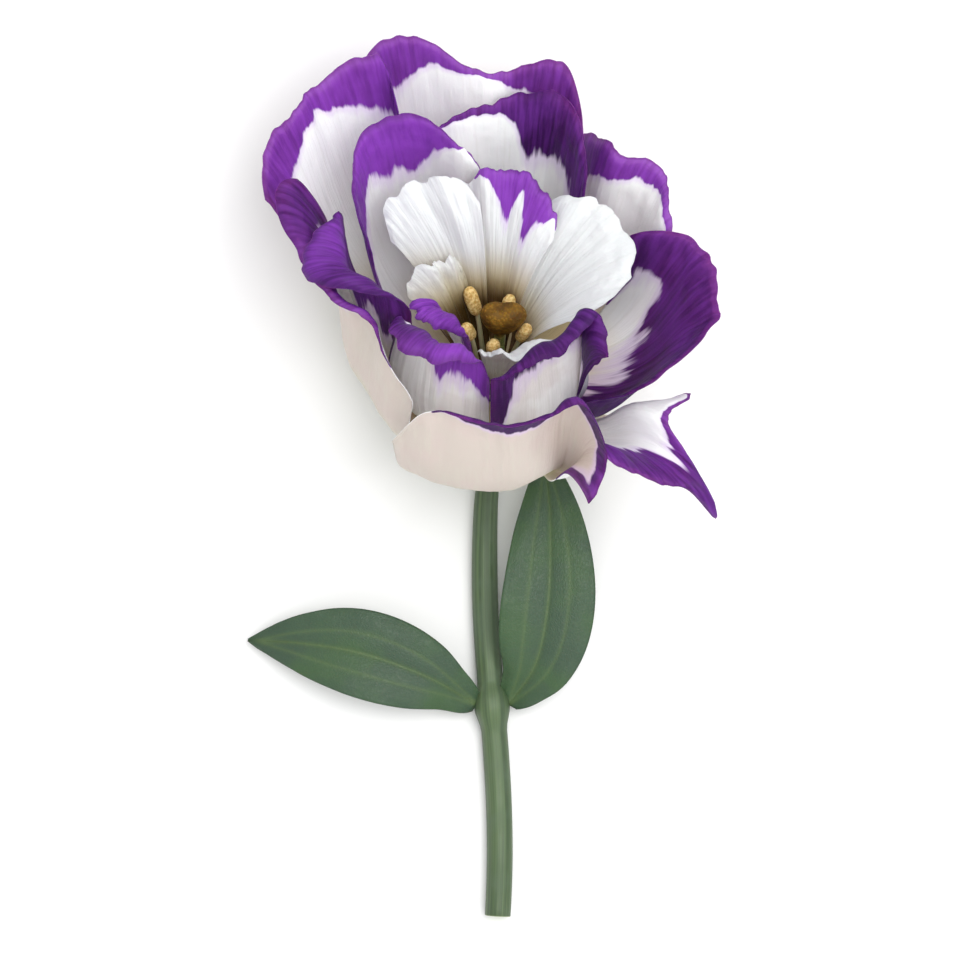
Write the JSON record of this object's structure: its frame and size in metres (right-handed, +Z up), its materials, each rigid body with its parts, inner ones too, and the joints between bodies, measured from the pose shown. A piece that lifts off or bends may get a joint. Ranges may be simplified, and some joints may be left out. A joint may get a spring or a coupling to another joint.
{
  "type": "lisianthus flower",
  "caption": "Open double lisianthus bloom, white with violet picotee petal edges, laid on its side with a short cut stem and a pair of oval leaves.",
  "frame": {"origin": "centre of the bounding box's underside, on the surface that the flower lies on", "axes": "+Y along the lying stem towards the bloom, +Z up from the surface, +X to the bloom's right as seen from above"},
  "size_m": [0.0668, 0.1252, 0.0538],
  "materials": {
    "petal_outer": "satin",
    "petal_middle": "satin",
    "petal_inner": "satin",
    "sepal": "satin",
    "stem": "satin",
    "leaf": "satin",
    "stamen": "matte",
    "pistil": "matte"
  },
  "bodies": {
    "root": {"outer_petal_1": "petal_outer", "outer_petal_2": "petal_outer", "outer_petal_3": "petal_outer", "outer_petal_4": "petal_outer", "outer_petal_5": "petal_outer", "outer_petal_6": "petal_outer", "middle_petal_1": "petal_middle", "middle_petal_2": "petal_middle", "middle_petal_3": "petal_middle", "middle_petal_4": "petal_middle", "middle_petal_5": "petal_middle", "middle_petal_6": "petal_middle", "inner_petal_1": "petal_inner", "inner_petal_2": "petal_inner", "inner_petal_3": "petal_inner", "inner_petal_4": "petal_inner", "inner_petal_5": "petal_inner", "inner_petal_6": "petal_inner", "sepal_1": "sepal", "sepal_2": "sepal", "sepal_3": "sepal", "sepal_4": "sepal", "sepal_5": "sepal", "stem": "stem", "leaf_left": "leaf", "leaf_right": "leaf", "stamen_1": "stamen", "stamen_2": "stamen", "stamen_3": "stamen", "stamen_4": "stamen", "stamen_5": "stamen", "pistil": "pistil"}
  },
  "joints": []
}
